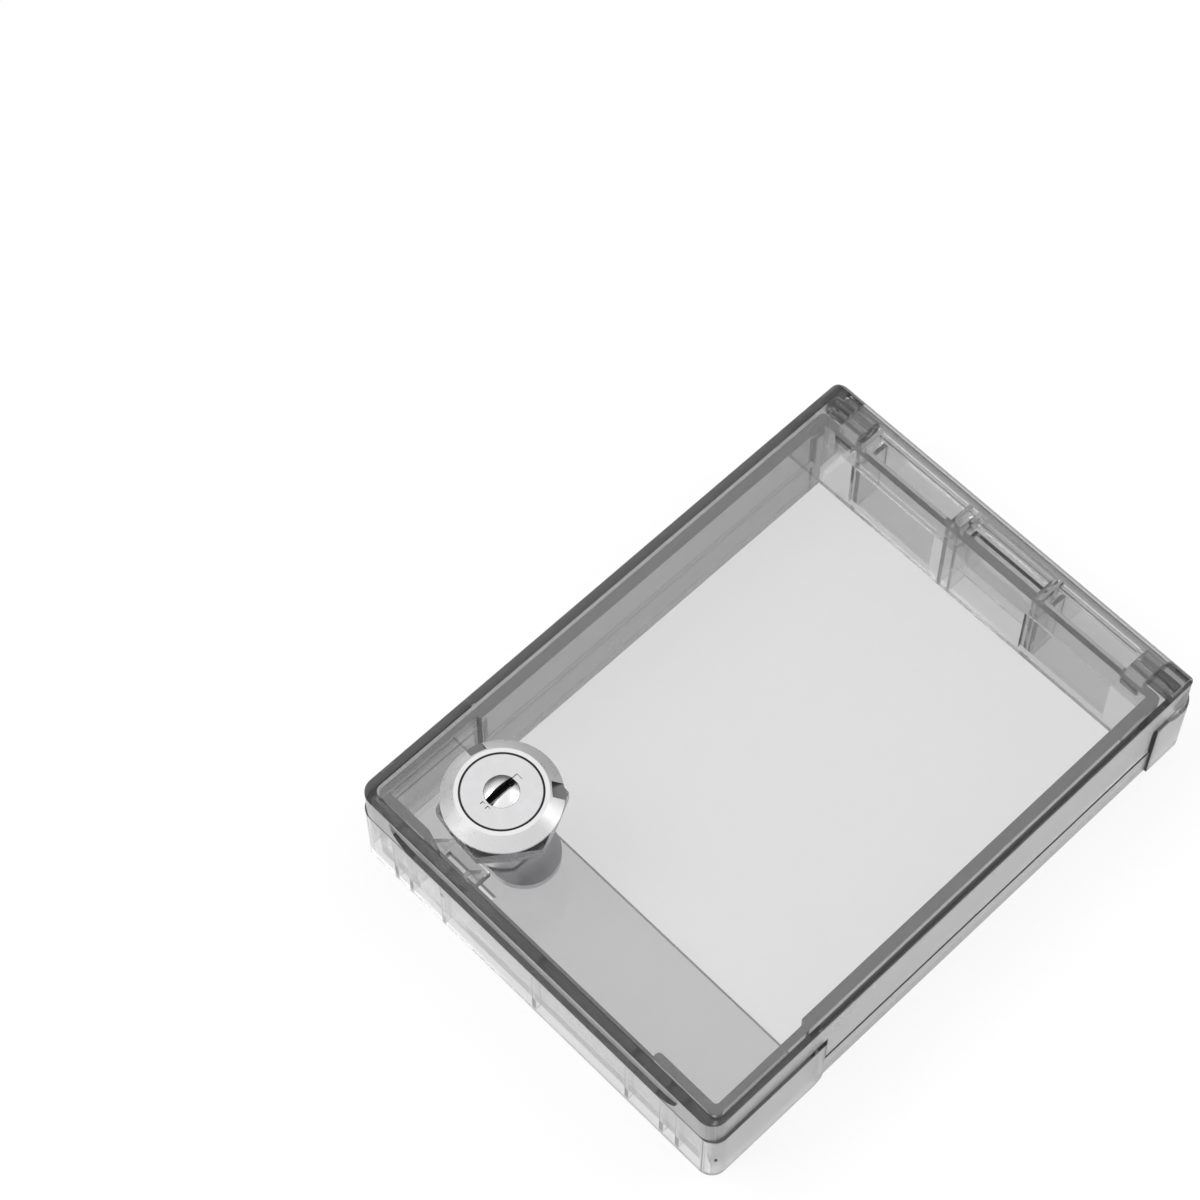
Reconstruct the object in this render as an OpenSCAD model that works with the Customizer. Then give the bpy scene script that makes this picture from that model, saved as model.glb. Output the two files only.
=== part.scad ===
// Lockable clear cover box for a wall thermostat: an open-backed base frame, a
// hinged cover and a wafer cam lock. It lies on its rear face, hinge end at +X.

/* [Case] */
// Length of the closed case, from the lock end to the hinge end
case_l = 156.6; // [148:0.2:170]
// Width of the cover across the two long sides
case_w = 112; // [104:1:130]
// Height of the closed case, rear face to cover plate
case_h = 29.5; // [28.5:0.5:33]
// Radius of the upright corners
corner_r = 4; // [3:0.5:4.5]

/* [Base frame] */
// Height of the full walls at the lock end and the hinge end
wall_h = 20.6; // [19.5:0.1:21]
// Thickness of the outer wall at the lock end
end_wall_t = 1.8; // [1.4:0.1:2]
// Thickness of the outer side walls of the lock end
side_wall_t = 1.6; // [1.2:0.1:1.8]
// Length of the full-height lock end
block_l = 34.6; // [34:0.2:40]
// Height of the low foot strip along the long sides
strip_h = 9.2; // [7:0.1:10.5]
// How far the foot strips and the cover lie behind the full walls on the long sides
recess = 0.7; // [0.4:0.1:1]
// Distance of the inner ring wall from the long sides
ring_off = 2.6; // [2.4:0.1:3]
// Thickness of the inner ring wall along the thermostat opening
ring_t = 2.9; // [2.2:0.1:3.4]
// Thickness of the inner ring wall around the lock pocket
pocket_ring_t = 1.9; // [1.6:0.1:2.1]
// Distance of the inner ring wall from the lock end
ring_end_off = 3.4; // [3.3:0.1:3.8]
// Thickness of the inner ring wall at the lock end
ring_end_t = 2.2; // [1.8:0.1:2.4]
// Thickness of the inner ring wall at the hinge end
ring_hinge_t = 2.4; // [1.8:0.1:3]
// Length of the closed lock pocket, which is also the length of its floor
pocket_l = 32.8; // [32:0.2:34]
// Thickness of the pocket floor
floor_t = 2.5; // [1.8:0.1:3]
// Thickness of the stiffening ribs
rib_t = 1.2; // [0.9:0.1:1.6]
// Distance of the low gap in the ring wall from the near long side
ring_gap_near = 21.8; // [18:0.2:26]
// Distance of the low gap in the ring wall from the far long side
ring_gap_far = 22.5; // [18:0.1:24]
// Thickness of the outer wall at the hinge end
hinge_wall_t = 1.4; // [1.2:0.1:1.8]
// Length of the corner blocks at the hinge end
hinge_block_l = 13.6; // [13.2:0.1:14.6]

/* [Cover] */
// Thickness of the cover plate
plate_t = 2.4; // [2:0.1:2.8]
// Thickness of the cover skirt on the long sides
skirt_t = 1.9; // [1.7:0.1:2.1]
// Thickness of the cover skirt at the lock end
skirt_end_t = 3; // [2.6:0.1:3.1]
// Thickness of the cover skirt below the rolled edge at the hinge end
skirt_hinge_t = 1.3; // [1.1:0.1:1.4]
// Radius of the rolled edge over the hinge
roll_r = 5; // [4.2:0.2:5.4]
// Depth of the finger scoop at the lower edge of the cover
scoop_d = 1.4; // [0.8:0.1:1.8]
// Distance of the finger scoop from the long sides
scoop_inset = 10.5; // [8:0.5:20]
// Radius of the two ends of the finger scoop
scoop_end_r = 7; // [4:0.5:8]

/* [Hinge] */
// Radius of the hinge knuckles
knuckle_r = 3.1; // [2.8:0.1:3.2]
// Distance of the hinge axis from the hinge end of the case
hinge_inset = 4.7; // [4.5:0.1:5]
// Distance between the hinge axis and the ring wall beside it
hinge_ring_gap = 5.2; // [5:0.1:5.5]
// Radius of the hinge pins
pin_r = 1.25; // [1:0.05:1.5]
// Length of each cover knuckle
cover_knuckle_l = 6; // [5:0.2:7]
// Length of each base knuckle
base_knuckle_l = 5.2; // [4.4:0.2:6.2]

/* [Lock] */
// Distance of the lock axis from the lock end of the case
lock_inset_x = 22.2; // [22:0.1:24]
// Distance of the lock axis from the far long side
lock_inset_y = 23.6; // [22.5:0.1:26]
// Diameter of the lock bezel
bezel_d = 28; // [26:0.5:30]
// Height of the lock bezel over the cover plate
bezel_h = 2.8; // [2.6:0.1:3.2]
// Diameter of the flat top of the bezel
bezel_top_d = 21.6; // [20.6:0.2:23]
// Diameter of the threaded barrel
barrel_d = 19; // [18.6:0.1:20]
// Distance across the two flats of the barrel
barrel_flats = 16.6; // [16:0.1:17.4]
// Length of the barrel below the bezel
barrel_l = 19.4; // [19:0.1:20.4]
// Distance across the flats of the lock nut
nut_af = 26; // [24:0.5:27]
// Thickness of the lock nut
nut_t = 4.4; // [3:0.1:5]
// Thickness of the toothed washer under the nut
tooth_washer_t = 0.6; // [0.4:0.1:1]
// Diameter of the face disc of the lock
disc_d = 18.8; // [18:0.1:18.9]
// Thickness of the face disc
disc_t = 1; // [0.8:0.1:1.1]
// Diameter of the domed boss around the key slot
boss_d = 8; // [7.6:0.1:9]
// Diameter of the lock plug
plug_d = 12; // [11.8:0.1:12.2]
// Length of the key slot
slot_l = 8; // [7:0.1:8.2]
// Width of the key slot
slot_w = 2.1; // [1.8:0.1:2.2]
// Thickness of each wafer
wafer_t = 0.8; // [0.5:0.1:0.9]
// Distance between neighbouring wafers
wafer_pitch = 2.4; // [2.1:0.1:2.6]
// Width of each wafer
wafer_w = 5; // [4.6:0.1:5.2]

/* [Cam and keeper] */
// Radius of the hub and of the tongue of the cam
cam_r = 8.6; // [7:0.1:9]
// Distance from the lock axis to the centre of the tongue end
cam_reach = 6.5; // [5:0.1:6.6]
// Thickness of the cam
cam_t = 2; // [1.5:0.1:2.4]
// Side of the square drive between plug and cam
drive_s = 6.6; // [6:0.1:7]
// Width of the keeper that the cam turns under
keeper_w = 12; // [10:0.2:14]
// How far the keeper stands out from the ring wall
keeper_d = 6.6; // [5:0.1:6.8]
// Thickness of the keeper
keeper_t = 2; // [1.6:0.1:2.6]
// Diameter of the head of the cam screw
screw_head_d = 7.4; // [6.5:0.1:9]
// Height of the head of the cam screw
screw_head_h = 2.2; // [1.6:0.1:2.6]
// Diameter of the shank of the cam screw
screw_d = 4; // [3:0.5:4]

/* [Hidden] */
$fn = 64;
eps = 0.01;

smoke = [0.62, 0.63, 0.64, 0.45];
chrome = "gainsboro";
steel = "silver";
brass = "goldenrod";
black = [0.12, 0.12, 0.13];
dark_grey = [0.25, 0.25, 0.26];

// Clearances
rim_gap = 0.3;      // ring wall to cover plate
parting_gap = 0.2;  // full base walls to cover skirt
reveal = 1;         // foot strip to cover apron
seam_gap = 1.1;     // lock end block to the swinging front end of the apron
block_gap = 1;      // rear end of the apron to the hinge block
knuckle_gap = 0.4;  // base knuckle to cover knuckle
swing_gap = 0.4;    // around everything that swings past the hinge
pin_fit = 0.04;     // hinge pin in its knuckles
hole_fit = 0.1;     // barrel in the cover, nut and washer
plug_fit = 0.05;    // plug in the housing
drive_fit = 0.05;   // cam and stop washer on the square drive
wafer_fit = 0.1;    // wafer in its slot
keeper_gap = 0.7;   // cam to keeper

// Case: heights and places
half_l = case_l / 2;
half_w = case_w / 2;
wall_y = half_w + recess;        // outer faces of the full walls
plate_z = case_h - plate_t;
rim_z = plate_z - rim_gap;
skirt_z = wall_h + parting_gap;
apron_z = strip_h + reveal;
lock_end = -half_l;
block_x = lock_end + block_l;
pocket_x = lock_end + pocket_l;
hinge_block_x = half_l - hinge_block_l;
apron_x0 = block_x + seam_gap;
apron_x1 = hinge_block_x - block_gap;
ring_x0 = lock_end + ring_end_off;
ring_inner_x0 = ring_x0 + ring_end_t;
hinge_x = half_l - hinge_inset;
hinge_z = rim_z - knuckle_r;
ring_x1 = hinge_x - hinge_ring_gap;
ring_inner_x1 = ring_x1 - ring_hinge_t;
ring_y = half_w - ring_off;
opening_y = ring_y - ring_t;
pocket_y = ring_y - pocket_ring_t;
web_t = 1.8;                    // closed top of the hollow lock end walls
block_round = 2.6;              // lower corner of the lock end block
swing_r = norm([hinge_inset, hinge_z - skirt_z]) + swing_gap;

// Ribs of the lock end and of the hinge end, as shares of the case width
end_rib_y = [-0.405, -0.361, -0.264, 0, 0.264, 0.361, 0.405] * case_w;
hinge_rib_y = [-0.153, 0.102, 0.358] * case_w;
hinge_rib_h = rim_z - 0.4;
box_y = [-0.143, 0.079] * case_w;   // box in the middle of the hinge end
box_t = 0.9;
box_x1 = hinge_x + 1.2;
slot_drop = 2.3;                    // slot in ribs and box, below the hinge axis
panel_d = 1.1;                      // panels in the hinge end of the ring wall
panel_y = [0.13, 0.366] * case_w;
panel_z = 2.2;
panel_top = 1.4;                    // below the top of the full walls

// Hinge: knuckles lie at both ends of the axis
cover_knuckle_y = half_w - skirt_t - cover_knuckle_l;
base_knuckle_y1 = cover_knuckle_y - knuckle_gap;
base_knuckle_y0 = base_knuckle_y1 - base_knuckle_l;
pin_y0 = base_knuckle_y0 + 0.6;
pin_y1 = half_w - skirt_t - 0.6;
bridge_drop = 1.6;              // bridge from base knuckle to ring wall, below the axis

// Lock: axis and heights, from the bezel down
lock_x = lock_end + lock_inset_x;
lock_y = half_w - lock_inset_y;
bezel_top = case_h + bezel_h;
barrel_z = case_h - barrel_l;
disc_recess_z = bezel_top - disc_t - 0.1;
plug_head_r = plug_d / 2 + 1.5;
plug_head_h = 1.5;
plug_head_top = disc_recess_z - 0.1;
plug_head_z = plug_head_top - plug_head_h;
boss_top = bezel_top - 0.1;
dome_h = 1.2;
bezel_rim_h = 0.5;
notch_angles = [-40, 74];
notch_w = 4;
notch_r = 11.2;
nut_z = plate_z - tooth_washer_t - nut_t;

// Key way, wafers and dust shutters
keyway_z = barrel_z + 4.8;
wafer_n = 5;
wafer_top = plug_head_z - 2.9;
wafer_out = 1;
wafer_l = 2 * sqrt(pow(plug_d / 2 - 0.1, 2) - pow(wafer_w / 2, 2)) - 0.1;
groove_w = wafer_w + 0.6;
groove_r = sqrt(pow(wafer_l / 2 + wafer_out, 2) + pow(wafer_w / 2, 2)) + 0.25;
spring_r = 0.32;
spring_l = 2.4;
spring_bay_l = spring_l + wafer_out + 0.6;
spring_bay_w = 1;
shutter_t = 0.35;
shutter_curl_r = 0.6;
shutter_y = slot_w / 2 + shutter_curl_r + 0.1;
shutter_z = plug_head_top - 0.8;
shutter_reach = shutter_y - 0.06;
shutter_l = slot_l + 0.6;
shutter_pin_r = 0.25;
shutter_spring_l = 1.2;
shutter_room_x = slot_l / 2 + 0.8;
shutter_room_z = shutter_z - shutter_reach - 0.25;

// Drive, stop washer, cam and screw, downwards from the barrel
stop_t = 0.7;
stop_lug_h = stop_t + 0.15;
stop_z = barrel_z + 0.1;
stop_disc_r = 6.4;
stop_tab_r = barrel_flats / 2 - 0.2;
stop_tab_a = 36;
cam_top = barrel_z - 0.1;
cam_z = cam_top - cam_t;
spring_washer_t = 0.7;
spring_washer_z = cam_z - spring_washer_t;
screw_head_z = spring_washer_z - screw_head_h;
screw_l = 6;
keeper_z = cam_top + keeper_gap;
gusset_h = wall_h - keeper_z - keeper_t;

// Rounded rectangle in plan, from x0 to x1 and half a width to both sides
module plan(x0, x1, half, r) {
    translate([x0 + r, -half]) square([x1 - x0 - 2 * r, 2 * half]);
    translate([x0, r - half]) square([x1 - x0, 2 * (half - r)]);
    for (x = [x0 + r, x1 - r], y = [r - half, half - r]) translate([x, y]) circle(r);
}

// Block between two corners
module block(low, high) {
    translate(low) cube(high - low);
}

// The same thing on both long sides
module both_sides() {
    children();
    mirror([0, 1, 0]) children();
}

// Cylinder along Y from y0 to y1
module bar(r, y0, y1) {
    translate([0, y1, 0]) rotate([90, 0, 0]) cylinder(r = r, h = y1 - y0);
}

// Piece at the lock axis
module at_lock(z) {
    translate([lock_x, lock_y, z]) children();
}

module ring_wall() {
    low_side = -half_w + ring_gap_near;
    far_side = half_w - ring_gap_far;
    nose = ring_end_t / 2;
    difference() {
        linear_extrude(rim_z) difference() {
            plan(ring_x0, ring_x1, ring_y, 1.6);
            plan(ring_inner_x0, pocket_x, pocket_y, 1);
            translate([pocket_x - eps, -opening_y])
                square([ring_inner_x1 - pocket_x + eps, 2 * opening_y]);
            translate([pocket_x - 2, -opening_y])
                square([3, 2 * opening_y]);
        }
        // the lock end of the ring is low between a rounded and a tapered end
        translate([0, 0, wall_h]) linear_extrude(rim_z) difference() {
            polygon([[ring_x0 - 1, low_side - nose], [ring_inner_x0 + 1, low_side - nose],
                     [ring_inner_x0 + 1, far_side + 5], [ring_inner_x0, far_side + 5],
                     [ring_x0 + 0.7, far_side], [ring_x0 - 1, far_side]]);
            translate([ring_x0 + nose, low_side - nose]) circle(nose);
        }
        hinge_panels();
    }
}

// Shallow panels in the hinge end of the ring wall
module hinge_panels() {
    both_sides() block([ring_inner_x1 - 1, panel_y[0], panel_z],
                       [ring_inner_x1 + panel_d, panel_y[1], wall_h - panel_top]);
}

module lock_end_block() {
    difference() {
        linear_extrude(wall_h) difference() {
            intersection() {
                plan(lock_end, half_l, wall_y, corner_r);
                translate([lock_end, -wall_y]) square([block_l, 2 * wall_y]);
            }
            translate([ring_inner_x0 - 0.5, -pocket_y]) square([block_l, 2 * pocket_y]);
        }
        // hollow between the outer walls and the ring wall
        translate([0, 0, -eps]) linear_extrude(wall_h - web_t + eps) difference() {
            intersection() {
                plan(lock_end + end_wall_t, half_l, wall_y - side_wall_t, corner_r - end_wall_t);
                translate([lock_end, -half_w]) square([block_l - side_wall_t, case_w]);
            }
            plan(ring_x0, half_l, ring_y, 1.6);
        }
        both_sides() {
            // rounded lower corner of the proud face
            translate([block_x, half_w, 0]) difference() {
                block([-block_round, 0, -eps], [1, recess + 1, block_round]);
                translate([-block_round, 0, block_round]) bar(block_round, -1, recess + 2);
            }
        }
    }
    for (y = end_rib_y)
        block([lock_end + end_wall_t - eps, y - rib_t / 2, 0], [ring_x0 + eps, y + rib_t / 2, wall_h - web_t]);
}

module foot_strips() {
    both_sides() block([block_x - eps, ring_y - eps, 0], [hinge_block_x + eps, half_w, strip_h]);
}

module hinge_end() {
    difference() {
        linear_extrude(wall_h) difference() {
            intersection() {
                plan(lock_end, half_l, wall_y, corner_r);
                translate([hinge_block_x, -wall_y]) square([hinge_block_l, 2 * wall_y]);
            }
            translate([hinge_block_x - 1, -ring_y]) square([hinge_block_l + 1 - hinge_wall_t, 2 * ring_y]);
        }
        translate([hinge_x, 0, hinge_z]) bar(swing_r, -wall_y - 1, wall_y + 1);
    }
    difference() {
        union() {
            for (y = hinge_rib_y) {
                block([ring_x1 - eps, y - rib_t / 2, 0], [box_x1, y + rib_t / 2, hinge_rib_h]);
                block([box_x1 - eps, y - rib_t / 2, 0],
                      [half_l - eps, y + rib_t / 2, hinge_z - swing_r - 0.3]);
            }
            // box in the middle, open at both ends
            difference() {
                block([ring_x1 - eps, box_y[0], 0], [box_x1, box_y[1], hinge_rib_h]);
                block([ring_x1, box_y[0] + box_t, -1], [box_x1 - box_t, box_y[1] - box_t, case_h]);
            }
        }
        // the cover skirt swings through here
        intersection() {
            translate([hinge_x, 0, hinge_z]) bar(swing_r, -half_w, half_w);
            block([ring_x1 + 0.1, -half_w, 0], [half_l, half_w, hinge_z - slot_drop]);
        }
    }
}

module base_knuckles() {
    both_sides() {
        translate([hinge_x, 0, hinge_z]) bar(knuckle_r, base_knuckle_y0, base_knuckle_y1);
        block([ring_x1 - eps, base_knuckle_y0, hinge_z - bridge_drop],
              [hinge_x, base_knuckle_y1, hinge_z + knuckle_r]);
    }
}

module keeper() {
    y0 = lock_y - keeper_w / 2;
    y1 = lock_y + keeper_w / 2;
    block([ring_inner_x0 - 0.5, y0, keeper_z], [ring_inner_x0 + keeper_d, y1, keeper_z + keeper_t]);
    for (y = [y0, y1 - rib_t])
        translate([ring_inner_x0 - 0.5, y + rib_t, keeper_z + keeper_t - eps]) rotate([90, 0, 0])
            linear_extrude(rib_t) polygon([[0, 0], [keeper_d + 0.3, 0], [1.6, gusset_h], [0, gusset_h]]);
}

module pocket_floor() {
    difference() {
        block([ring_x0 + 0.5, -ring_y + 0.5, 0], [pocket_x, ring_y - 0.5, floor_t]);
        // opening under the keeper
        block([ring_inner_x0 + 0.3, lock_y - keeper_w / 2 - 1.7, -1],
              [ring_inner_x0 + keeper_d - 0.2, lock_y + keeper_w / 2 + 1.7, floor_t + 1]);
    }
}

module base() {
    color(smoke) difference() {
        union() {
            ring_wall();
            lock_end_block();
            foot_strips();
            hinge_end();
            base_knuckles();
            keeper();
            pocket_floor();
        }
        translate([hinge_x, 0, hinge_z]) both_sides()
            bar(pin_r + pin_fit, base_knuckle_y0 - 1, base_knuckle_y1 + 1);
    }
}

// Solid of the cover before its inside is taken away
module cover_outside() {
    difference() {
        translate([0, 0, skirt_z]) linear_extrude(case_h - skirt_z) plan(lock_end, half_l, half_w, corner_r);
        translate([half_l - roll_r, 0, case_h - roll_r]) difference() {
            block([0, -half_w - 1, 0], [roll_r + 1, half_w + 1, roll_r + 1]);
            bar(roll_r, -half_w - 2, half_w + 2);
        }
    }
}

// Inside of the cover, with its edge rolled over the hinge
module cover_inside() {
    inner_r = roll_r - 2;
    difference() {
        translate([0, 0, skirt_z - 1]) linear_extrude(plate_z - skirt_z + 1)
            plan(lock_end + skirt_end_t, half_l - skirt_hinge_t, half_w - skirt_t, corner_r - skirt_t);
        translate([half_l - skirt_hinge_t - inner_r, 0, plate_z - inner_r]) difference() {
            block([0, -half_w, 0], [inner_r + 1, half_w, inner_r + 1]);
            bar(inner_r, -half_w - 1, half_w + 1);
        }
    }
}

module aprons() {
    both_sides() block([apron_x0, half_w - skirt_t, apron_z], [apron_x1, half_w, skirt_z + eps]);
}

// Sloping face under the finger edge, with its two ends rounded up
module finger_scoop() {
    half = half_w - scoop_inset;
    intersection() {
        translate([lock_end, half, 0]) rotate([90, 0, 0]) linear_extrude(2 * half)
            polygon([[-1, skirt_z - 1], [scoop_d * 1.1, skirt_z - 1], [0, case_h], [-1, case_h]]);
        translate([lock_end + scoop_d + 1, 0, 0]) rotate([90, 0, -90]) linear_extrude(scoop_d + 3) difference() {
            translate([-half, skirt_z - 2]) square([2 * half, case_h]);
            for (side = [-1, 1]) translate([side * half, skirt_z]) difference() {
                translate([-scoop_end_r, -3]) square([2 * scoop_end_r, scoop_end_r + 3]);
                translate([-side * scoop_end_r, scoop_end_r]) circle(scoop_end_r);
                translate([side > 0 ? -2 * scoop_end_r : scoop_end_r, -4]) square([scoop_end_r, 2 * scoop_end_r]);
            }
        }
    }
}

// Hole with two flats for the lock barrel
module barrel_hole(h) {
    intersection() {
        cylinder(d = barrel_d + 2 * hole_fit, h = h);
        translate([-barrel_d, -barrel_flats / 2 - hole_fit, 0]) cube([2 * barrel_d, barrel_flats + 2 * hole_fit, h]);
    }
}

module cover_knuckles() {
    both_sides() {
        translate([hinge_x, 0, hinge_z]) bar(knuckle_r, cover_knuckle_y, half_w - skirt_t + eps);
        block([hinge_x - knuckle_r, cover_knuckle_y, hinge_z],
              [hinge_x + knuckle_r, half_w - skirt_t + eps, plate_z + eps]);
    }
}

// Rounded lower edge over the hinge end, concentric with the hinge
module cheeks() {
    r = swing_r - swing_gap;
    difference() {
        intersection() {
            translate([0, 0, hinge_z - r]) linear_extrude(skirt_z - hinge_z + r + eps)
                plan(lock_end, half_l, half_w, corner_r);
            translate([hinge_x, 0, hinge_z]) bar(r, -half_w, half_w);
        }
        block([lock_end, -half_w + skirt_t, 0], [half_l - skirt_hinge_t, half_w - skirt_t, case_h]);
    }
}

module cover() {
    color(smoke) difference() {
        union() {
            difference() {
                cover_outside();
                cover_inside();
            }
            aprons();
            cheeks();
            cover_knuckles();
        }
        finger_scoop();
        at_lock(plate_z - 1) barrel_hole(plate_t + 2);
        translate([hinge_x, 0, hinge_z]) both_sides() {
            bar(pin_r + pin_fit, cover_knuckle_y - 1, pin_y1 + 0.2);
            // room for the base knuckle beside the skirt
            bar(knuckle_r + swing_gap, base_knuckle_y0 - 1, cover_knuckle_y);
        }
    }
}

module hinge_pin() {
    translate([hinge_x, 0, hinge_z]) bar(pin_r, pin_y0, pin_y1);
}

module hinge_pin_near() {
    color(dark_grey) mirror([0, 1, 0]) hinge_pin();
}

module hinge_pin_far() {
    color(dark_grey) hinge_pin();
}

// Barrel with its two flats, standing on z = 0
module barrel(h) {
    intersection() {
        cylinder(d = barrel_d, h = h);
        translate([-barrel_d, -barrel_flats / 2, 0]) cube([2 * barrel_d, barrel_flats, h]);
    }
}

// Sector of a round plate, from angle a0 over a degrees
module sector(r, a0, a, h) {
    steps = ceil(a / 30);
    linear_extrude(h) intersection() {
        circle(r);
        polygon(concat([[0, 0]], [for (i = [0 : steps]) 2 * r * [cos(a0 + a * i / steps), sin(a0 + a * i / steps)]]));
    }
}

module lock_housing() {
    color(chrome) at_lock(0) difference() {
        union() {
            translate([0, 0, case_h]) rotate_extrude()
                polygon([[0, 0], [bezel_d / 2, 0], [bezel_d / 2, bezel_rim_h],
                         [bezel_top_d / 2, bezel_h], [0, bezel_h]]);
            translate([0, 0, barrel_z]) barrel(barrel_l + eps);
        }
        translate([0, 0, barrel_z - 1]) cylinder(r = plug_d / 2 + plug_fit, h = barrel_l + 2);
        translate([0, 0, plug_head_z - 0.1]) cylinder(r = plug_head_r + 0.1, h = 5);
        translate([0, 0, disc_recess_z]) cylinder(d = disc_d + 0.4, h = 5);
        // grooves that the wafers spring into, at both key positions
        for (a = [0, 90]) rotate(a) intersection() {
            translate([-barrel_d / 2, -groove_w / 2, keyway_z - 1]) cube([barrel_d, groove_w, plug_head_z - keyway_z - 0.4]);
            cylinder(r = groove_r, h = case_h);
        }
        // quarter turn of room for the tab of the stop washer
        translate([0, 0, barrel_z - eps]) {
            sector(barrel_d, 180 - stop_tab_a / 2 - 1, 90 + stop_tab_a + 2, stop_lug_h);
            cylinder(r = stop_disc_r + 0.1, h = stop_lug_h);
        }
        for (a = notch_angles) rotate(a)
            translate([notch_r, -notch_w / 2, case_h + bezel_rim_h]) cube([bezel_d, notch_w, bezel_h]);
    }
}

module toothed_washer() {
    teeth = 12;
    color(steel) at_lock(plate_z - tooth_washer_t) difference() {
        union() {
            cylinder(d = nut_af - 3, h = tooth_washer_t);
            for (i = [0 : teeth - 1]) rotate(i * 360 / teeth)
                translate([0, -1, 0]) cube([nut_af / 2 - 0.6, 2, tooth_washer_t]);
        }
        translate([0, 0, -1]) barrel_hole(3);
    }
}

module lock_nut() {
    color(steel) at_lock(nut_z) difference() {
        intersection() {
            rotate(23.6) cylinder(d = nut_af / cos(30), h = nut_t, $fn = 6);
            rotate_extrude() polygon([[0, 0], [nut_af / 2 - 0.3, 0], [nut_af / 2 + 2, 1.3], [nut_af / 2 + 2, nut_t], [0, nut_t]]);
        }
        translate([0, 0, -1]) cylinder(d = barrel_d + 2 * hole_fit, h = nut_t + 2);
    }
}

module face_disc() {
    color(chrome) at_lock(bezel_top - disc_t) difference() {
        cylinder(d = disc_d, h = disc_t);
        translate([0, 0, -1]) cylinder(d = boss_d + 0.2, h = disc_t + 2);
        // plain stamped squares at both ends of the key slot
        translate([boss_d / 2 - 0.2, -0.9, disc_t - 0.3]) cube([1.7, 1.8, 1]);
        for (y = [-0.8, 0.8]) translate([-boss_d / 2 - 1.5, y - 0.45, disc_t - 0.3]) cube([0.9, 0.9, 1]);
    }
}

// Spherical cap of height h on a round boss of radius r
module dome(r, h) {
    ball = (r * r + h * h) / (2 * h);
    intersection() {
        translate([0, 0, h - ball]) sphere(ball, $fn = 96);
        cylinder(r = r, h = h + 1);
    }
}

module lock_plug() {
    color(chrome) at_lock(0) difference() {
        union() {
            translate([0, 0, barrel_z + stop_lug_h + 0.05]) cylinder(d = plug_d, h = plug_head_z - barrel_z - stop_lug_h);
            translate([0, 0, plug_head_z]) cylinder(r = plug_head_r, h = plug_head_h);
            translate([0, 0, plug_head_top - eps]) cylinder(d = boss_d, h = boss_top - plug_head_top + eps);
            translate([0, 0, boss_top - eps]) dome(boss_d / 2, dome_h);
            translate([-drive_s / 2, -drive_s / 2, cam_z + 0.1]) cube([drive_s, drive_s, stop_z - cam_z + 1]);
        }
        // key way
        translate([-slot_l / 2, -slot_w / 2, keyway_z]) cube([slot_l, slot_w, case_h]);
        // room for the two dust shutters and their pins
        block([-shutter_room_x, -shutter_y - 0.8, shutter_room_z], [shutter_room_x, shutter_y + 0.8, plug_head_top]);
        for (y = [-shutter_y, shutter_y]) translate([-plug_d, y, shutter_z]) rotate([0, 90, 0])
            cylinder(r = shutter_pin_r + 0.03, h = plug_d + shutter_room_x + 0.7);
        for (i = [0 : wafer_n - 1])
            translate([-plug_d, -wafer_w / 2 - wafer_fit, wafer_z(i) - wafer_fit])
                cube([2 * plug_d, wafer_w + 2 * wafer_fit, wafer_t + 2 * wafer_fit]);
        translate([0, 0, cam_z - 1]) cylinder(d = screw_d + 0.1, h = screw_l + 1.4);
    }
}

// Shutter leaf on the far side of the key slot, reaching to its middle
module shutter() {
    l = shutter_l - shutter_spring_l - 0.2;
    translate([-shutter_l / 2, shutter_y, shutter_z]) difference() {
        union() {
            rotate([0, 90, 0]) cylinder(r = shutter_curl_r, h = l);
            translate([0, -shutter_reach, -shutter_t / 2]) cube([l, shutter_reach, shutter_t]);
        }
        translate([-1, 0, 0]) rotate([0, 90, 0]) cylinder(r = shutter_pin_r + 0.04, h = shutter_l + 2);
    }
}

module shutter_pin() {
    translate([-shutter_room_x - 0.6, shutter_y, shutter_z]) rotate([0, 90, 0])
        cylinder(r = shutter_pin_r, h = 2 * shutter_room_x + 1.2);
}

module shutter_spring() {
    translate([shutter_l / 2 - shutter_spring_l, shutter_y, shutter_z]) rotate([0, 90, 0]) difference() {
        cylinder(r = shutter_curl_r - 0.05, h = shutter_spring_l);
        translate([0, 0, -1]) cylinder(r = shutter_pin_r + 0.04, h = shutter_spring_l + 2);
    }
}

// The near side's copy, turned half round the lock axis
module turned() {
    rotate(180) children();
}

module shutter_near() {
    color(black) at_lock(0) turned() shutter();
}

module shutter_far() {
    color(black) at_lock(0) shutter();
}

module shutter_pin_near() {
    color(steel) at_lock(0) turned() shutter_pin();
}

module shutter_pin_far() {
    color(steel) at_lock(0) shutter_pin();
}

module shutter_spring_near() {
    color(steel) at_lock(0) turned() shutter_spring();
}

module shutter_spring_far() {
    color(steel) at_lock(0) shutter_spring();
}

function wafer_z(i) = wafer_top - i * wafer_pitch;
function wafer_side(i) = i % 2 == 0 ? 1 : -1;

// One wafer, held flush with the plug as a key holds it
module wafer(i) {
    side = wafer_side(i);
    bay_x = -side * (spring_bay_l / 2 + 0.4);
    color(brass) at_lock(wafer_z(i)) difference() {
        translate([-wafer_l / 2, -wafer_w / 2, 0]) cube([wafer_l, wafer_w, wafer_t]);
        translate([-slot_l / 2 - 0.1, -slot_w / 2 - 0.1, -1]) cube([slot_l + 0.2, slot_w + 0.2, 3]);
        translate([bay_x - spring_bay_l / 2, wafer_w / 2 - spring_bay_w, -1])
            cube([spring_bay_l, spring_bay_w + 1, 3]);
    }
}

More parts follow.
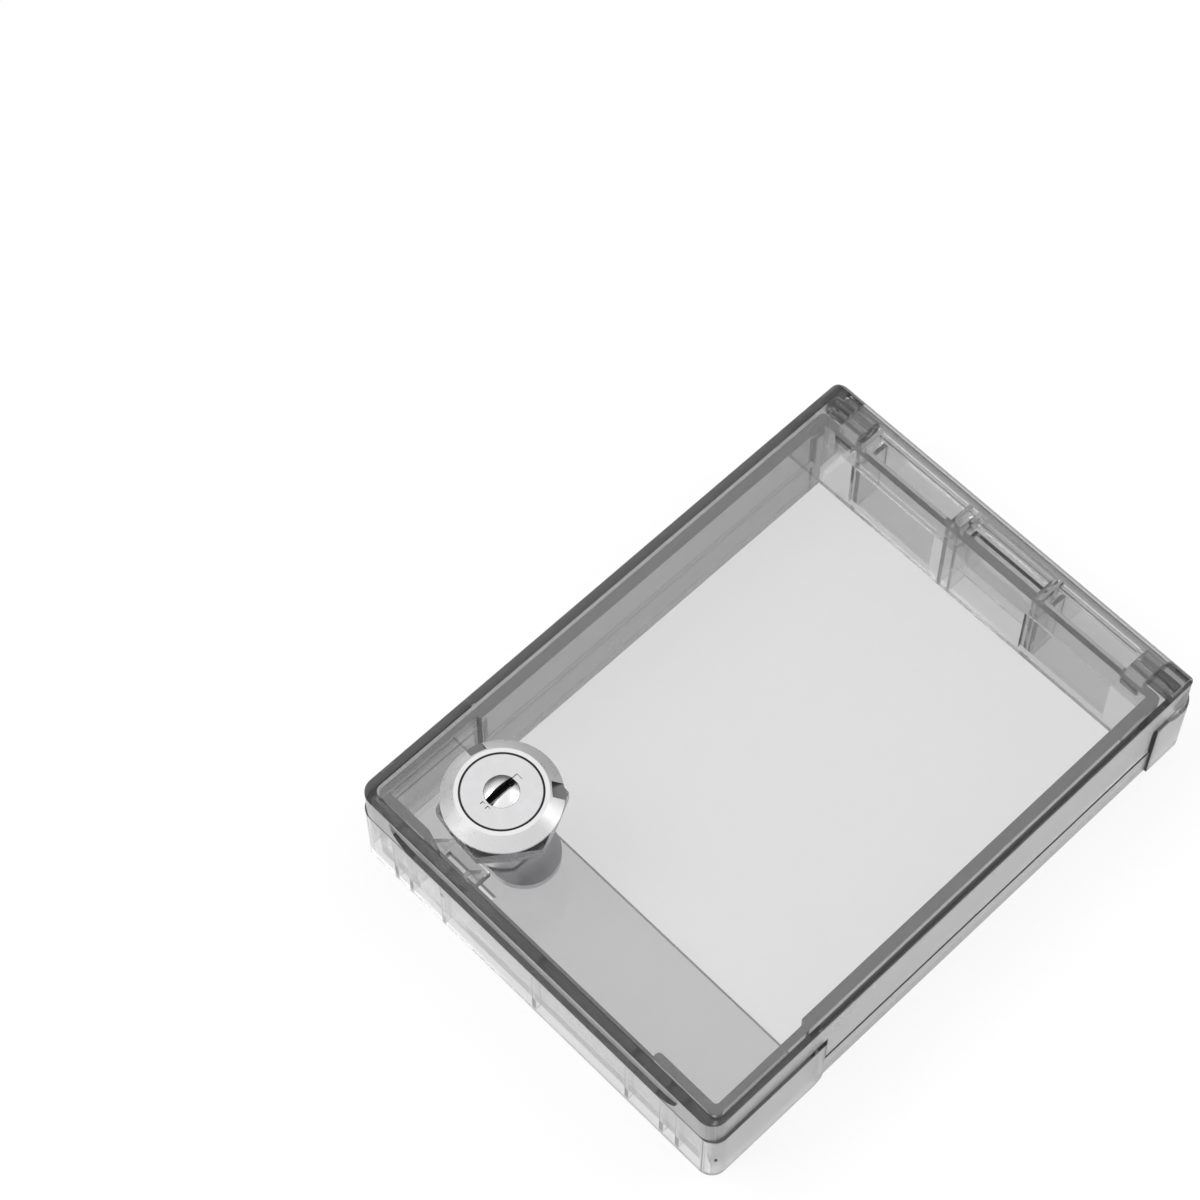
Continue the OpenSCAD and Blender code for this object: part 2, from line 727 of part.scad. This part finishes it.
module wafer_1() { wafer(0); }
module wafer_2() { wafer(1); }
module wafer_3() { wafer(2); }
module wafer_4() { wafer(3); }
module wafer_5() { wafer(4); }

module wafer_springs() {
    color(steel) for (i = [0 : wafer_n - 1]) {
        side = wafer_side(i);
        bay_x = -side * (spring_bay_l / 2 + 0.4);
        x_low = bay_x + side * (spring_bay_l / 2 - 0.2) - (side > 0 ? spring_l : 0);
        at_lock(wafer_z(i) + wafer_t / 2)
            translate([x_low, wafer_w / 2 + wafer_fit - spring_r - 0.05, 0]) rotate([0, 90, 0])
                cylinder(r = spring_r, h = spring_l);
    }
}

// Square hole for the drive, with its fit
module drive_hole(h) {
    s = drive_s + 2 * drive_fit;
    translate([-s / 2, -s / 2, -1]) cube([s, s, h + 2]);
}

module stop_washer() {
    color(steel) at_lock(stop_z) difference() {
        union() {
            cylinder(r = stop_disc_r, h = stop_t);
            sector(stop_tab_r, 270 - stop_tab_a / 2, stop_tab_a, stop_t);
        }
        drive_hole(stop_t);
    }
}

module cam() {
    color(steel) at_lock(cam_z) difference() {
        union() {
            cylinder(r = cam_r, h = cam_t);
            translate([0, -cam_reach, 0]) cylinder(r = cam_r, h = cam_t);
            translate([-cam_r, -cam_reach, 0]) cube([2 * cam_r, cam_reach, cam_t]);
        }
        drive_hole(cam_t);
    }
}

module cam_spring_washer() {
    color(steel) at_lock(spring_washer_z) difference() {
        cylinder(d = screw_head_d + 1.8, h = spring_washer_t);
        translate([0, 0, -1]) cylinder(d = screw_d + 0.3, h = 3);
        // the split of the washer
        rotate(30) translate([0, -0.4, -1]) cube([screw_head_d, 0.8, 3]);
    }
}

module cam_screw() {
    color(steel) at_lock(0) difference() {
        union() {
            translate([0, 0, screw_head_z]) cylinder(d = screw_head_d, h = screw_head_h);
            translate([0, 0, spring_washer_z - eps]) cylinder(d = screw_d, h = screw_l + spring_washer_t);
        }
        for (a = [0, 90]) rotate(a)
            translate([-screw_head_d / 3, -0.5, screw_head_z - 1]) cube([screw_head_d / 1.5, 1, 2]);
    }
}

base();
cover();
hinge_pin_near();
hinge_pin_far();
lock_housing();
toothed_washer();
lock_nut();
face_disc();
lock_plug();
shutter_near();
shutter_far();
shutter_pin_near();
shutter_pin_far();
shutter_spring_near();
shutter_spring_far();
wafer_1();
wafer_2();
wafer_3();
wafer_4();
wafer_5();
wafer_springs();
stop_washer();
cam();
cam_spring_washer();
cam_screw();
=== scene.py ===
"""A clear, smoke-tinted cover box for a wall thermostat, with a cam lock, on white."""
import math

import bpy
from mathutils import Matrix, Vector

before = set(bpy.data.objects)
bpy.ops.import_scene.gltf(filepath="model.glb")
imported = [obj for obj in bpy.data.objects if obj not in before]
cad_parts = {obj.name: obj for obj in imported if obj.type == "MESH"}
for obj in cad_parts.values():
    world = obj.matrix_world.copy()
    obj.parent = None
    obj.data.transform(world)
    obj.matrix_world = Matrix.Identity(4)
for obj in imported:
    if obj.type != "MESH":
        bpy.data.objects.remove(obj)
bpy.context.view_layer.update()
scene = bpy.context.scene

MM = 0.001


# Node helpers

def grey(value):
    """A neutral colour."""
    return (value, value, value, 1)


def new_material(name):
    """An empty node material, its tree and its output."""
    mat = bpy.data.materials.new(name)
    mat.use_nodes = True
    tree = mat.node_tree
    tree.nodes.clear()
    out = tree.nodes.new("ShaderNodeOutputMaterial")
    return mat, tree, out


def add(tree, kind, **values):
    """A node with its sockets (by name, spaces as _) or properties set."""
    node = tree.nodes.new(kind)
    for key, value in values.items():
        label = key.replace("_", " ")
        if label in node.inputs:
            node.inputs[label].default_value = value
        else:
            setattr(node, key, value)
    return node


def link(tree, source, target):
    tree.links.new(source, target)


def maths(tree, operation, *values):
    """A maths node fed with sockets or numbers; returns its output."""
    node = add(tree, "ShaderNodeMath", operation=operation)
    for socket, value in zip(node.inputs, values):
        if isinstance(value, (int, float)):
            socket.default_value = value
        else:
            link(tree, value, socket)
    return node.outputs[0]


def blend(tree, share, first, second):
    """The second shader over the first, by the share."""
    mixed = add(tree, "ShaderNodeMixShader")
    link(tree, share, mixed.inputs["Fac"])
    link(tree, first, mixed.inputs[1])
    link(tree, second, mixed.inputs[2])
    return mixed.outputs["Shader"]


def noise_bump(tree, shader, scale, strength, depth):
    """Fine relief from object-space noise."""
    coord = add(tree, "ShaderNodeTexCoord")
    noise = add(tree, "ShaderNodeTexNoise", Scale=scale, Detail=4.0)
    bump = add(tree, "ShaderNodeBump", Strength=strength, Distance=depth)
    link(tree, coord.outputs["Object"], noise.inputs["Vector"])
    link(tree, noise.outputs["Fac"], bump.inputs["Height"])
    link(tree, bump.outputs["Normal"], shader.inputs["Normal"])
    return noise, bump


def vary_roughness(tree, shader, noise, low, high):
    """Roughness that wanders between low and high with the middle values of the noise."""
    spread = add(tree, "ShaderNodeMapRange", From_Min=0.35, From_Max=0.65, To_Min=low, To_Max=high)
    link(tree, noise.outputs["Fac"], spread.inputs["Value"])
    link(tree, spread.outputs["Result"], shader.inputs["Roughness"])


# Places on the case in millimetres: x towards the hinge, y across, z up, from the middle of the case

def span(name):
    """Lowest and highest corner of a piece, in millimetres."""
    points = [vertex.co / MM for vertex in bpy.data.objects[name].data.vertices]
    return [[pick(point[axis] for point in points) for axis in range(3)] for pick in (min, max)]


def middle(name):
    """Middle of a piece's box, in millimetres."""
    low, high = span(name)
    return [(a + b) / 2 for a, b in zip(low, high)]


BASE_TOP = span("base")[1]
COVER_TOP = span("cover")[1]
LOCK = middle("lock_nut")
PIN = middle("hinge_pin_near")
END_X = BASE_TOP[0]            # outer faces of both ends
COVER_Y = COVER_TOP[1]         # outer faces of the cover's long sides
RING_Z = BASE_TOP[2]           # top of the ring wall
PLATE_Z = COVER_TOP[2]         # top of the cover plate
POCKET_X = -45.5               # where the pocket floor ends at the opening
FLOOR_Z = 2.5                  # top of the pocket floor
PARTING_Z = 20.7               # middle of the gap between full walls and skirt
REVEAL_Z = 9.7                 # middle of the gap between foot strips and aprons
LOCK_SEAM_X = -43.15           # gap between lock end and aprons
HINGE_SEAM_X = 64.2            # gap between aprons and hinge blocks
SEAM_REACH = 0.7               # from the middle of a seam to past its faces
PARTING_SHADE_X = (-43.3, 64.3)    # the painted shade line at the parting shows outside these two
PANEL_X = 67.1                 # panels of the ring wall at the hinge end
KNUCKLE_R = 3.25               # just outside the knuckles
KNUCKLE_Y = 42.0               # inner ends of the knuckles, near enough

# Facings: the part of a normal that lies along an axis
MOSTLY = 0.7
HARDLY = 0.3


# Masks on the geometry, 1 where they hold

def both(tree, *masks):
    """Where all the masks hold."""
    result = masks[0]
    for mask in masks[1:]:
        result = maths(tree, "MULTIPLY", result, mask)
    return result


def either(tree, first, second):
    return maths(tree, "MAXIMUM", first, second)


def above(tree, value, limit):
    return maths(tree, "GREATER_THAN", value, limit * MM)


def below(tree, value, limit):
    return maths(tree, "LESS_THAN", value, limit * MM)


def near(tree, value, centre, reach):
    return maths(tree, "COMPARE", value, centre * MM, reach * MM)


def size_of(tree, value):
    return maths(tree, "ABSOLUTE", value)


def offset(tree, value, centre):
    """Distance of one coordinate from a place."""
    return size_of(tree, maths(tree, "SUBTRACT", value, centre * MM))


def apart(tree, a, b, centre_a, centre_b):
    """Distance of two coordinates from a point in their plane."""
    squares = [maths(tree, "MULTIPLY", gap, gap)
               for gap in (offset(tree, a, centre_a), offset(tree, b, centre_b))]
    return maths(tree, "SQRT", maths(tree, "ADD", *squares))


def surface(tree):
    """Place and facing of the surface: texture coordinate node, x, y, z and the normal's x, z."""
    coord = add(tree, "ShaderNodeTexCoord")
    place = add(tree, "ShaderNodeSeparateXYZ")
    facing = add(tree, "ShaderNodeSeparateXYZ")
    link(tree, coord.outputs["Object"], place.inputs["Vector"])
    link(tree, coord.outputs["Normal"], facing.inputs["Vector"])
    return (coord, *place.outputs, facing.outputs["X"], facing.outputs["Z"])


def lay_skins(tree, body, skins):
    """Thin grey scatters over a shader, each given as mask, share and tone."""
    for mask, share, tone in skins:
        scatter = add(tree, "ShaderNodeBsdfDiffuse", Color=grey(tone))
        body = blend(tree, maths(tree, "MULTIPLY", mask, share), body, scatter.outputs["BSDF"])
    return body


# Smoke-clear plastic

def moulded_skins(tree):
    """Texture coordinates, the mask of the grained outer sides, and the skins of the mouldings, with
    painted shade in the gaps, on the knuckles and on the pocket floor's end face.
    """
    coord, x, y, z, facing_x, facing_z = surface(tree)
    wide_x, wide_y = size_of(tree, x), size_of(tree, y)
    level = size_of(tree, facing_z)
    flat = maths(tree, "GREATER_THAN", level, MOSTLY)
    end_on = maths(tree, "GREATER_THAN", size_of(tree, facing_x), MOSTLY)
    upright = maths(tree, "LESS_THAN", level, HARDLY)
    lock_face = below(tree, x, 0.3 - END_X)

    lock_wall = both(tree, upright, lock_face, below(tree, z, PARTING_Z - 0.3))
    outer = both(tree, upright,
                 either(tree, above(tree, wide_x, END_X - 0.3), above(tree, wide_y, COVER_Y - 0.8)))
    sides = maths(tree, "SUBTRACT", outer, lock_wall)
    lock_skirt = both(tree, below(tree, x, 1.8 - END_X), above(tree, z, PARTING_Z + 0.2),
                      maths(tree, "LESS_THAN", level, 0.5))
    on_blocks = either(tree, below(tree, x, PARTING_SHADE_X[0]), above(tree, x, PARTING_SHADE_X[1]))
    # painted shade: a near-black line in the gap at the parting, on the end blocks
    parting_gap_shade = both(tree, upright, near(tree, z, PARTING_Z, 0.35), on_blocks,
                     either(tree, lock_face, above(tree, wide_y, COVER_Y - 0.3)))
    # painted shade on the end face of the pocket floor at the opening
    floor_edge = both(tree, end_on, near(tree, x, POCKET_X, 0.1), below(tree, z, FLOOR_Z + 0.2))
    ring = both(tree, near(tree, z, RING_Z, 0.15), maths(tree, "GREATER_THAN", facing_z, MOSTLY))
    panels = both(tree, end_on, near(tree, x, PANEL_X, 0.1))
    roll = both(tree, above(tree, x, END_X - 1.7), above(tree, z, PIN[2] - 1.7),
                below(tree, wide_y, COVER_Y - 1.0))
    # painted shade: the hinge knuckles darkened
    knuckles = both(tree, below(tree, apart(tree, x, z, PIN[0], PIN[2]), KNUCKLE_R),
                    above(tree, wide_y, KNUCKLE_Y))
    # painted shade on the level faces in the gap between the full walls and the skirt
    parting = both(tree, flat, near(tree, z, PARTING_Z, 0.15),
                   either(tree, above(tree, wide_x, END_X - 3.1), above(tree, wide_y, COVER_Y - 2.0)))
    # painted shade in the gap between the foot strips and the aprons
    reveal = both(tree, near(tree, z, REVEAL_Z, 0.78), near(tree, wide_y, COVER_Y - 0.05, 0.2))
    # painted shade in the gaps at both ends of the aprons
    seams = both(tree, end_on, above(tree, wide_y, COVER_Y - 1.8),
                 either(tree, near(tree, x, HINGE_SEAM_X, SEAM_REACH),
                        near(tree, x, LOCK_SEAM_X, SEAM_REACH)))
    return coord, sides, ((sides, 0.27, 0.75), (lock_wall, 0.2, 0.85), (lock_skirt, 0.5, 0.5),
                          (parting_gap_shade, 0.7, 0.04), (floor_edge, 0.6, 0.05), (ring, 0.3, 0.3),
                          (panels, 0.3, 0.04), (roll, 0.3, 0.25), (knuckles, 0.4, 0.12),
                          (parting, 0.4, 0.03), (reveal, 0.85, 0.02), (seams, 0.8, 0.02))


def smoke_plastic():
    """Clear moulded plastic whose grey tint deepens with its thickness."""
    mat, tree, out = new_material("smoke_plastic")
    coord, sides, skins = moulded_skins(tree)
    clear = add(tree, "ShaderNodeBsdfPrincipled", IOR=1.5, Base_Color=grey(0.91),
                Transmission_Weight=1.0)

    # a slow ripple everywhere, and a fine grain on the outer sides
    noise, ripple = noise_bump(tree, clear, scale=90, strength=0.05, depth=0.2 * MM)
    grain = add(tree, "ShaderNodeTexNoise", Scale=2200, Detail=2.0)
    relief = add(tree, "ShaderNodeBump", Distance=0.06 * MM)
    link(tree, coord.outputs["Object"], grain.inputs["Vector"])
    link(tree, grain.outputs["Fac"], relief.inputs["Height"])
    link(tree, maths(tree, "MULTIPLY", sides, 0.6), relief.inputs["Strength"])
    link(tree, ripple.outputs["Normal"], relief.inputs["Normal"])
    link(tree, relief.outputs["Normal"], clear.inputs["Normal"])
    gloss = maths(tree, "MULTIPLY", noise.outputs["Fac"], 0.08)
    link(tree, maths(tree, "MULTIPLY_ADD", sides, 0.22, gloss), clear.inputs["Roughness"])
    body = lay_skins(tree, clear.outputs["BSDF"], skins)

    # light reaches the table through the walls
    path = add(tree, "ShaderNodeLightPath")
    through = add(tree, "ShaderNodeBsdfTransparent", Color=grey(0.92))
    body = blend(tree, path.outputs["Is Shadow Ray"], body, through.outputs["BSDF"])
    link(tree, body, out.inputs["Surface"])
    tint = add(tree, "ShaderNodeVolumeAbsorption", Density=75.0, Color=grey(0.0))
    link(tree, tint.outputs["Volume"], out.inputs["Volume"])
    return mat


# Metals of the lock and the pins

def metal(name, colour, low, high, bump=0.05, marks=None):
    """Plated or bare metal with fine wear in its gloss, and grey, painted shade and painted highlights
    where the marks say so.
    """
    mat, tree, out = new_material(name)
    shader = add(tree, "ShaderNodeBsdfPrincipled", Metallic=1.0, Base_Color=(*colour, 1))
    noise, _ = noise_bump(tree, shader, scale=400, strength=bump, depth=0.03 * MM)
    vary_roughness(tree, shader, noise, low, high)
    skins = marks(tree) if marks else ()
    link(tree, lay_skins(tree, shader.outputs["BSDF"], skins), out.inputs["Surface"])
    return mat


def housing_marks(tree):
    """The satin bevel of the bezel, and painted shade in the rim round the face disc and in the two
    notches.
    """
    _, x, y, z, _, facing_z = surface(tree)
    radius = apart(tree, x, y, LOCK[0], LOCK[1])
    # painted shade in the gap between the face disc and the bezel
    rim = both(tree, below(tree, radius, 9.75), above(tree, z, PLATE_Z + 1.5))
    # painted shade in the two notches
    notch_floor = both(tree, near(tree, z, PLATE_Z + 0.5, 0.06),
                       maths(tree, "GREATER_THAN", facing_z, 0.95))
    notch_walls = both(tree, maths(tree, "LESS_THAN", size_of(tree, facing_z), 0.1),
                       near(tree, radius, 12.4, 1.5), above(tree, z, PLATE_Z + 0.4))
    bevel = both(tree, maths(tree, "LESS_THAN", facing_z, 0.95),
                 maths(tree, "GREATER_THAN", facing_z, HARDLY), above(tree, z, PLATE_Z + 0.1))
    return (bevel, 0.5, 0.62), (rim, 0.95, 0.02), (either(tree, notch_floor, notch_walls), 0.8, 0.03)


def disc_marks(tree):
    """Painted shade on the edge of the disc and on the sides of its stamped squares."""
    _, x, y, _, _, facing_z = surface(tree)
    # painted shade in the gap round the disc and on the recessed sides of the squares
    edge = above(tree, apart(tree, x, y, LOCK[0], LOCK[1]), 9.2)
    return ((either(tree, edge, maths(tree, "LESS_THAN", facing_z, 0.5)), 0.9, 0.03),)


def plug_marks(tree):
    """Painted shade inside the key slot."""
    _, x, y, _, _, _ = surface(tree)
    # painted shade: the slot's recess made near-black
    across = below(tree, offset(tree, y, LOCK[1]), 1.08)
    along = below(tree, offset(tree, x, LOCK[0]), 4.03)
    return ((both(tree, across, along), 0.9, 0.01),)


def shutter_marks(tree):
    """A painted highlight: the bright edge at which the two leaves meet."""
    _, _, y, _, _, _ = surface(tree)
    # painted highlight along the meeting edge of the leaves
    return ((below(tree, offset(tree, y, LOCK[1]), 0.22), 0.9, 0.8),)


smoke = smoke_plastic()
chrome = metal("chrome_plate", (0.86, 0.86, 0.87), 0.26, 0.34, marks=housing_marks)
plug_chrome = metal("plug_chrome", (0.9, 0.9, 0.91), 0.22, 0.3, marks=plug_marks)
disc_chrome = metal("disc_chrome", (0.78, 0.78, 0.79), 0.2, 0.3, marks=disc_marks)
zinc = metal("zinc_plate", (0.6, 0.6, 0.62), 0.3, 0.4, bump=0.02)
nut_metal = metal("nut_metal", (0.36, 0.36, 0.37), 0.2, 0.32, bump=0.04)
dark_steel = metal("dark_steel", (0.12, 0.12, 0.13), 0.25, 0.4)
shutter_black = metal("shutter_black", (0.02, 0.02, 0.02), 0.4, 0.5, marks=shutter_marks)
brass = metal("wafer_brass", (0.75, 0.58, 0.28), 0.25, 0.4)

finish = {
    "base": smoke, "cover": smoke,
    "lock_housing": chrome, "lock_plug": plug_chrome, "face_disc": disc_chrome,
    "lock_nut": nut_metal, "toothed_washer": nut_metal,
    "hinge_pin_near": dark_steel, "hinge_pin_far": dark_steel,
    "shutter_near": shutter_black, "shutter_far": shutter_black,
    "wafer_1": brass, "wafer_2": brass, "wafer_3": brass, "wafer_4": brass, "wafer_5": brass,
}
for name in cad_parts:
    obj = bpy.data.objects[name]
    mat = finish.get(name, zinc)
    if not obj.material_slots:
        obj.data.materials.append(mat)
    for slot in obj.material_slots:
        slot.material = mat


# Floor, world and lamps, in metres

def white_floor():
    """A white sheet: white to the eye, with the object's soft shadow on it."""
    mesh = bpy.data.meshes.new("floor")
    half = 3.0
    corners = [(-half, -half, 0), (half, -half, 0), (half, half, 0), (-half, half, 0)]
    mesh.from_pydata(corners, [], [(0, 1, 2, 3)])
    floor = bpy.data.objects.new("floor", mesh)
    floor.location.z = -0.3 * MM
    scene.collection.objects.link(floor)
    mat, tree, out = new_material("white_floor")
    lit = add(tree, "ShaderNodeBsdfDiffuse", Color=grey(0.9))
    glow = add(tree, "ShaderNodeEmission", Strength=1.0)
    path = add(tree, "ShaderNodeLightPath")

    # the sheet ends in a dark room for what metal and clear edges pick up
    coord = add(tree, "ShaderNodeTexCoord")
    reach = add(tree, "ShaderNodeVectorMath", operation="LENGTH")
    sheet = add(tree, "ShaderNodeMapRange", From_Min=0.25, From_Max=0.6, To_Min=1.0, To_Max=0.1)
    link(tree, coord.outputs["Object"], reach.inputs[0])
    link(tree, reach.outputs["Value"], sheet.inputs["Value"])
    indirect = maths(tree, "MAXIMUM", path.outputs["Is Glossy Ray"], path.outputs["Is Transmission Ray"])
    picked = maths(tree, "MULTIPLY", indirect, sheet.outputs["Result"])
    seen = maths(tree, "MAXIMUM", path.outputs["Is Camera Ray"], picked)
    glow_share = maths(tree, "MULTIPLY", seen, 0.8)
    body = blend(tree, glow_share, lit.outputs["BSDF"], glow.outputs["Emission"])
    link(tree, body, out.inputs["Surface"])
    mesh.materials.append(mat)


def white_world():
    """White to the eye; a bright ceiling over a dark room for everything else."""
    world = bpy.data.worlds.new("studio")
    scene.world = world
    world.use_nodes = True
    tree = world.node_tree
    tree.nodes.clear()
    out = tree.nodes.new("ShaderNodeOutputWorld")
    coord = add(tree, "ShaderNodeTexCoord")
    split = add(tree, "ShaderNodeSeparateXYZ")
    ramp = add(tree, "ShaderNodeValToRGB")
    stops = [(0.0, 0.05), (0.22, 0.10), (0.5, 0.7), (0.7, 1.0)]
    for i, (place, value) in enumerate(stops):
        stop = ramp.color_ramp.elements[i] if i < 2 else ramp.color_ramp.elements.new(place)
        stop.position = place
        stop.color = grey(value)
    studio = add(tree, "ShaderNodeBackground", Strength=0.9)
    white = add(tree, "ShaderNodeBackground", Strength=1.0, Color=grey(1.0))
    path = add(tree, "ShaderNodeLightPath")
    link(tree, coord.outputs["Generated"], split.inputs["Vector"])
    link(tree, split.outputs["Z"], ramp.inputs["Fac"])
    link(tree, ramp.outputs["Color"], studio.inputs["Color"])
    body = blend(tree, path.outputs["Is Camera Ray"], studio.outputs["Background"],
                 white.outputs["Background"])
    link(tree, body, out.inputs["Surface"])


def area_light(name, place, size, power):
    """A rectangular lamp aimed at the middle of the case; power in watts."""
    data = bpy.data.lights.new(name, "AREA")
    data.shape = "RECTANGLE"
    data.size, data.size_y = size
    data.energy = power
    lamp = bpy.data.objects.new(name, data)
    lamp.location = place
    lamp.rotation_euler = (-Vector(place)).to_track_quat("-Z", "Y").to_euler()
    scene.collection.objects.link(lamp)


white_floor()
white_world()
area_light("key", place=(-0.5, 0.5, 0.9), size=(0.7, 0.5), power=6)
area_light("fill", place=(0.7, -0.5, 0.8), size=(0.6, 0.6), power=3)


# Camera: on the sightline of the photograph

def place_camera():
    azimuth, elevation, roll = math.radians(46.275), math.radians(61.315), math.radians(-0.469)
    distance = 798.9 * MM
    target = Vector((-0.7625, 58.21, 16.42)) * MM
    forward = Vector((math.cos(azimuth) * math.cos(elevation),
                      math.sin(azimuth) * math.cos(elevation), -math.sin(elevation)))
    right = forward.cross(Vector((0, 0, 1))).normalized()
    up = right.cross(forward)
    right, up = (math.cos(roll) * right + math.sin(roll) * up,
                 math.cos(roll) * up - math.sin(roll) * right)
    data = bpy.data.cameras.new("camera")
    data.sensor_width = 36
    data.lens = 102.48
    camera = bpy.data.objects.new("camera", data)
    turn = Matrix((right, up, -forward)).transposed().to_4x4()
    camera.matrix_world = Matrix.Translation(target - forward * distance) @ turn
    scene.collection.objects.link(camera)
    scene.camera = camera


place_camera()
scene.view_settings.view_transform = "Standard"
